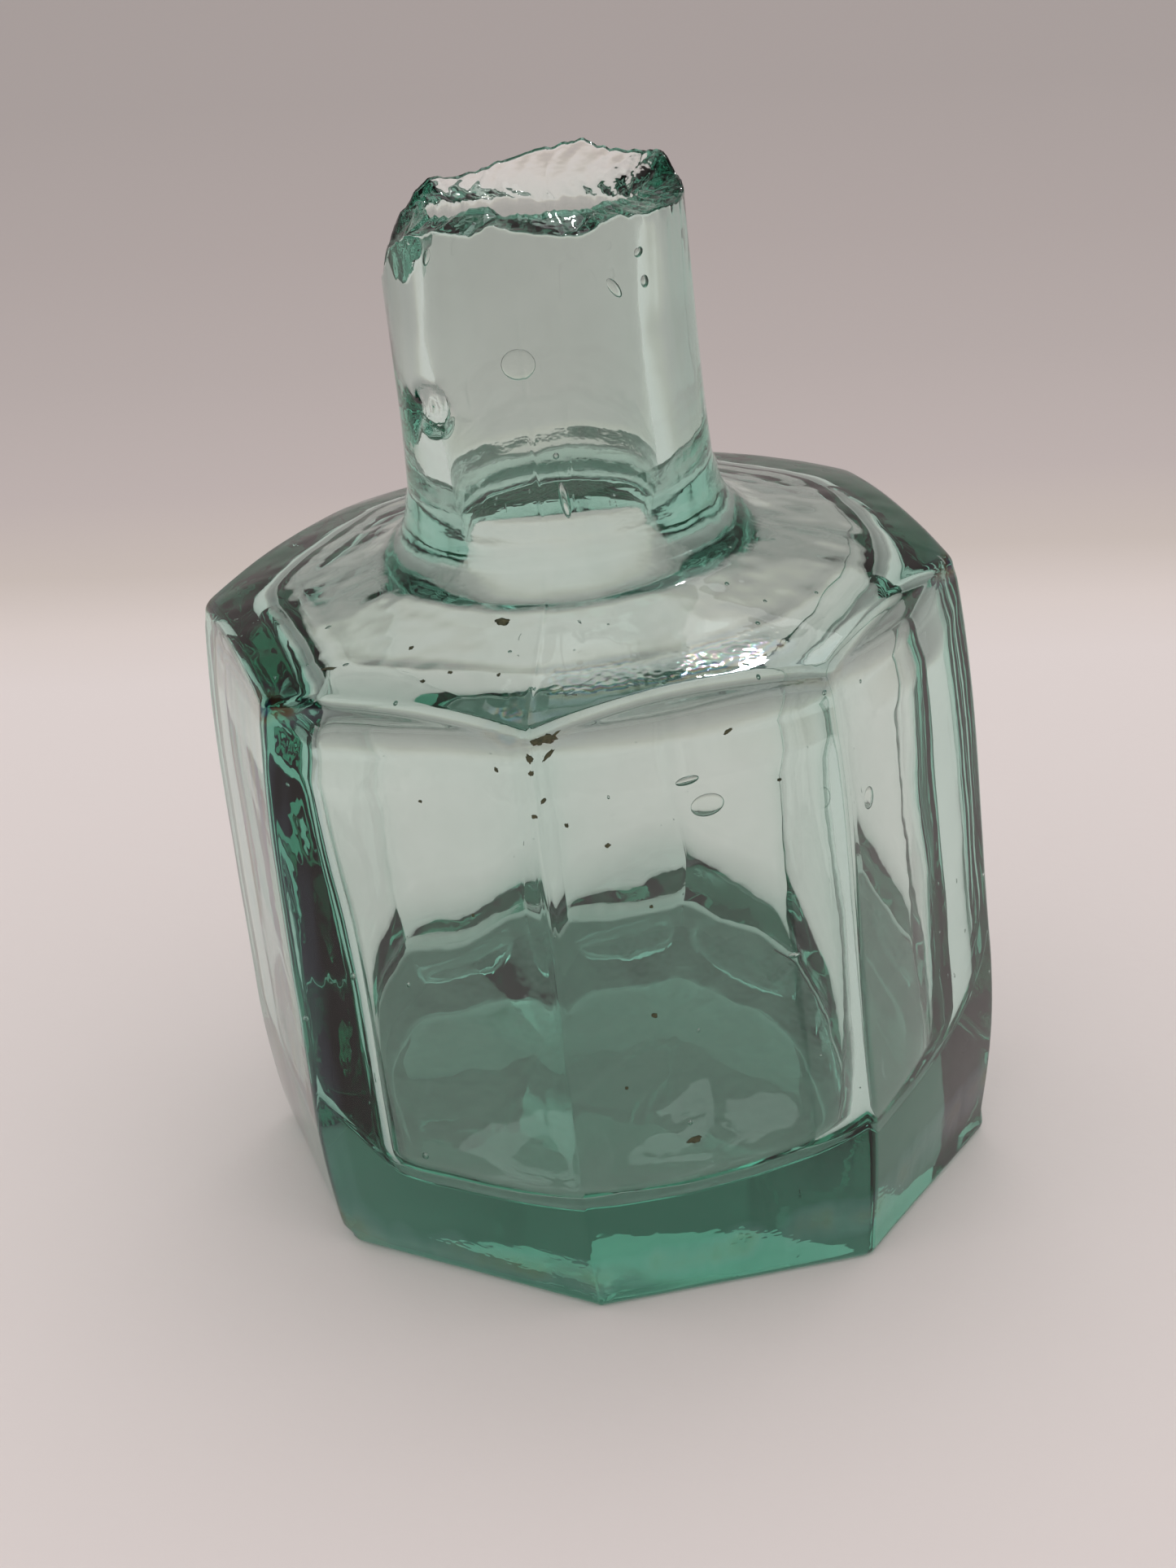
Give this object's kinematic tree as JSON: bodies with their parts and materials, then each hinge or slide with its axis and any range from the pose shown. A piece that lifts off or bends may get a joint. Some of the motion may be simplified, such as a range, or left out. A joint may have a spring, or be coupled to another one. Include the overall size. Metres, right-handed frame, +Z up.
{
  "type": "ink bottle",
  "caption": "Octagonal moulded glass ink bottle, slightly leaning, with a round neck and a rough burst-off lip, open and empty.",
  "frame": {"origin": "centre of the flat base, in the plane it stands on", "axes": "+Z up; -Y is the outward direction of one of the eight panels, and +X points to the panel two places on; the neck and body lean 4.2 degrees from +Z towards 164 degrees from +X"},
  "size_m": [0.047, 0.046, 0.0653],
  "materials": {
    "glass": "clear aqua bottle glass, fire-polished outside with seed bubbles, light wear and a raw fractured lip"
  },
  "bodies": {
    "root": {"bottle": "glass"}
  },
  "joints": []
}
